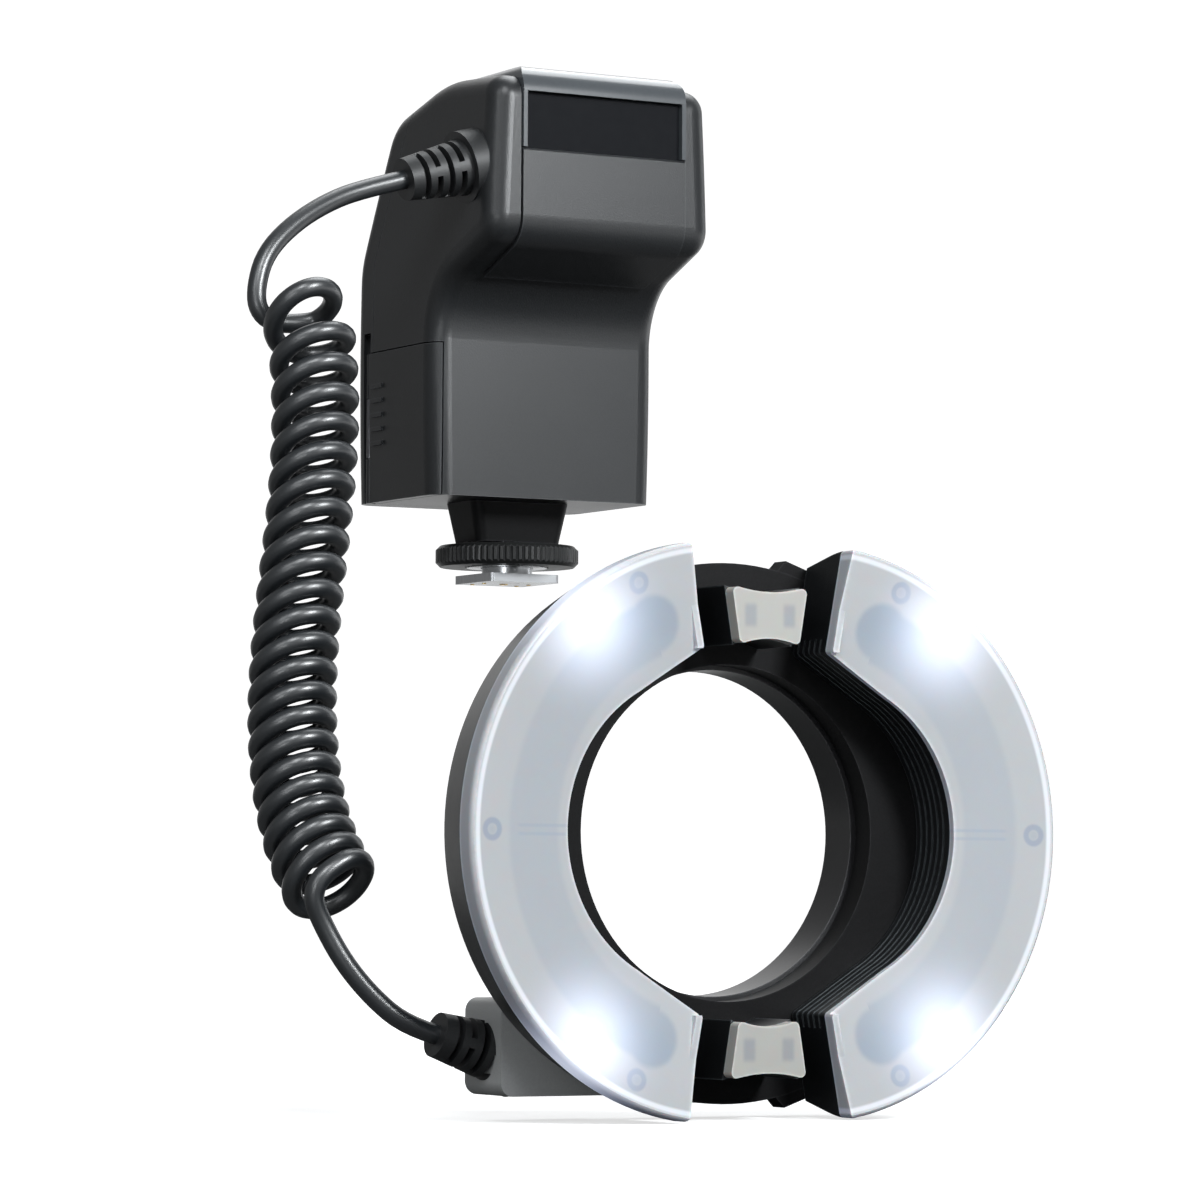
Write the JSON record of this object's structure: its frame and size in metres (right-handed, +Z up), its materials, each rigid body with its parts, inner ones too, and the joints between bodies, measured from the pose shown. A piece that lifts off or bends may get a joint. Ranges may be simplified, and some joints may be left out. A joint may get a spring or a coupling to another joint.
{
  "type": "macro ring flash",
  "caption": "Macro ring flash: a control unit on a shoe foot, joined by a curly cord to a wide ring of sliding, frosted lamp halves round an open lens bore.",
  "frame": {"origin": "centre of the underside of the shoe foot", "axes": "+Z up along the control unit, -Y the way the lamps shine, +X to the right as seen from the front"},
  "size_m": [0.1736, 0.1479, 0.2401],
  "materials": {
    "casing_plastic": "fine-grained dark grey moulding",
    "gloss_cover": "smooth grey, semi gloss",
    "dark_window": "dark glossy panel",
    "label_plastic": "smooth recessed panel, bare",
    "frosted_diffuser": "frosted white, ridged inside",
    "black_plastic": "matt black",
    "cord_sheath": "satin dark grey",
    "relief_rubber": "satin dark grey",
    "wheel_plastic": "satin grey, knurled",
    "bright_steel": "brushed",
    "foot_metal": "satin",
    "gold_contact": "gold plated",
    "reflector_silver": "satin, bright",
    "flash_glass": "clear tube",
    "led_lens": "clear lens",
    "display_glass": "clear cover",
    "board_laminate": "green laminate",
    "cell_jacket": "plain jacket",
    "screw_steel": "blackened steel",
    "dial_plastic": "satin black",
    "adapter_metal": "black anodised look"
  },
  "bodies": {
    "flash_body": {"front_shell": "casing_plastic", "rear_shell": "casing_plastic", "top_cover": "gloss_cover", "signal_window": "dark_window", "head_fascia": "casing_plastic", "rating_plate": "label_plastic", "door_hinge_pin": "bright_steel", "battery_magazine": "black_plastic", "battery_cells": "cell_jacket", "battery_contacts": "bright_steel", "main_board": "board_laminate", "main_capacitor": "dark_window", "button_switches": "black_plastic", "display_window": "display_glass", "display_module": "dark_window", "dial_encoder": "black_plastic", "terminal_block": "black_plastic", "terminal_sockets": "bright_steel", "foot_pedestal": "casing_plastic", "foot_plate": "foot_metal", "shoe_contacts": "gold_contact", "upper_strain_relief": "relief_rubber", "lower_strain_relief": "relief_rubber", "cord_upper_lead": "cord_sheath", "cord_coil": "cord_sheath", "cord_lower_lead": "cord_sheath", "ring_base": "black_plastic", "ring_rear_cover": "black_plastic", "cover_screws": "screw_steel", "cable_boss": "casing_plastic", "lamp_blocks": "black_plastic", "focus_windows": "frosted_diffuser", "focus_lamps": "led_lens"},
    "door_leaf": {"door_hinge_leaf": "bright_steel"},
    "battery_door": {"battery_door": "casing_plastic"},
    "select_dial": {"select_dial": "dial_plastic"},
    "set_button": {"set_button": "dial_plastic"},
    "power_button": {"power_button": "dial_plastic"},
    "test_button": {"test_button": "dial_plastic"},
    "terminal_flap": {"terminal_flap": "casing_plastic"},
    "lock_wheel": {"lock_wheel": "wheel_plastic"},
    "clamp_plate": {"clamp_plate": "bright_steel"},
    "lock_pin": {"lock_pin": "bright_steel"},
    "left_lamp": {"left_diffuser": "frosted_diffuser", "left_lamp_housing": "black_plastic", "left_reflector": "reflector_silver", "left_flash_tube": "flash_glass", "left_modelling_leds": "led_lens", "left_slide_rails": "black_plastic", "left_lamp_screws": "screw_steel"},
    "right_lamp": {"right_diffuser": "frosted_diffuser", "right_lamp_housing": "black_plastic", "right_reflector": "reflector_silver", "right_flash_tube": "flash_glass", "right_modelling_leds": "led_lens", "right_slide_rails": "black_plastic", "right_lamp_screws": "screw_steel"},
    "release_tab_left": {"release_tab_left": "dial_plastic"},
    "release_tab_right": {"release_tab_right": "dial_plastic"},
    "adapter_ring": {"adapter_ring": "adapter_metal"}
  },
  "joints": [
    {"name": "left_lamp_slide", "type": "slide", "parent": "flash_body", "child": "left_lamp", "axis": [-1, 0, 0], "range_m": [-0.0085, 0]},
    {"name": "right_lamp_slide", "type": "slide", "parent": "flash_body", "child": "right_lamp", "axis": [1, 0, 0], "range_m": [-0.0085, 0]},
    {"name": "battery_door_swing", "type": "hinge", "parent": "flash_body", "child": "door_leaf", "pos_m": [-0.029, 0.015, 0.03675], "axis": [0, 0, -1], "range_deg": [0, 110]},
    {"name": "battery_door_slide", "type": "slide", "parent": "door_leaf", "child": "battery_door", "axis": [0, 0, -1], "range_m": [0, 0.003]},
    {"name": "lock_wheel_turn", "type": "hinge", "parent": "flash_body", "child": "lock_wheel", "pos_m": [0, 0, 0.0064], "axis": [0, 0, 1], "range_deg": [-270, 0]},
    {"name": "clamp_plate_slide", "type": "slide", "parent": "flash_body", "child": "clamp_plate", "axis": [0, 0, 1], "range_m": [-0.0008, 0]},
    {"name": "lock_pin_slide", "type": "slide", "parent": "flash_body", "child": "lock_pin", "axis": [0, 0, 1], "range_m": [-0.0014, 0]},
    {"name": "select_dial_turn", "type": "hinge", "parent": "flash_body", "child": "select_dial", "pos_m": [0, 0.0236, 0.062], "axis": [0, 1, 0], "continuous": true},
    {"name": "set_button_press", "type": "slide", "parent": "flash_body", "child": "set_button", "axis": [0, -1, 0], "range_m": [0, 0.0006], "stiffness_N_per_m": 1200, "springref_m": -0.0012},
    {"name": "power_button_press", "type": "slide", "parent": "flash_body", "child": "power_button", "axis": [0, -1, 0], "range_m": [0, 0.0006], "stiffness_N_per_m": 1200, "springref_m": -0.0012},
    {"name": "test_button_press", "type": "slide", "parent": "flash_body", "child": "test_button", "axis": [0, -1, 0], "range_m": [0, 0.0006], "stiffness_N_per_m": 1200, "springref_m": -0.0012},
    {"name": "terminal_flap_swing", "type": "hinge", "parent": "flash_body", "child": "terminal_flap", "pos_m": [0.02998, -0.0075, 0.0603], "axis": [0, 1, 0], "range_deg": [0, 90]},
    {"name": "release_left_press", "type": "slide", "parent": "flash_body", "child": "release_tab_left", "axis": [1, 0, 0], "range_m": [0, 0.002], "stiffness_N_per_m": 900, "springref_m": -0.002},
    {"name": "release_right_press", "type": "slide", "parent": "flash_body", "child": "release_tab_right", "axis": [-1, 0, 0], "range_m": [0, 0.002], "stiffness_N_per_m": 900, "springref_m": -0.002},
    {"name": "adapter_ring_turn", "type": "hinge", "parent": "flash_body", "child": "adapter_ring", "pos_m": [0, -0.094, -0.06], "axis": [0, 1, 0], "continuous": true}
  ],
  "couplings": [
    {"joint": "lock_pin_slide", "follows": "clamp_plate_slide", "ratio": 1.6}
  ]
}
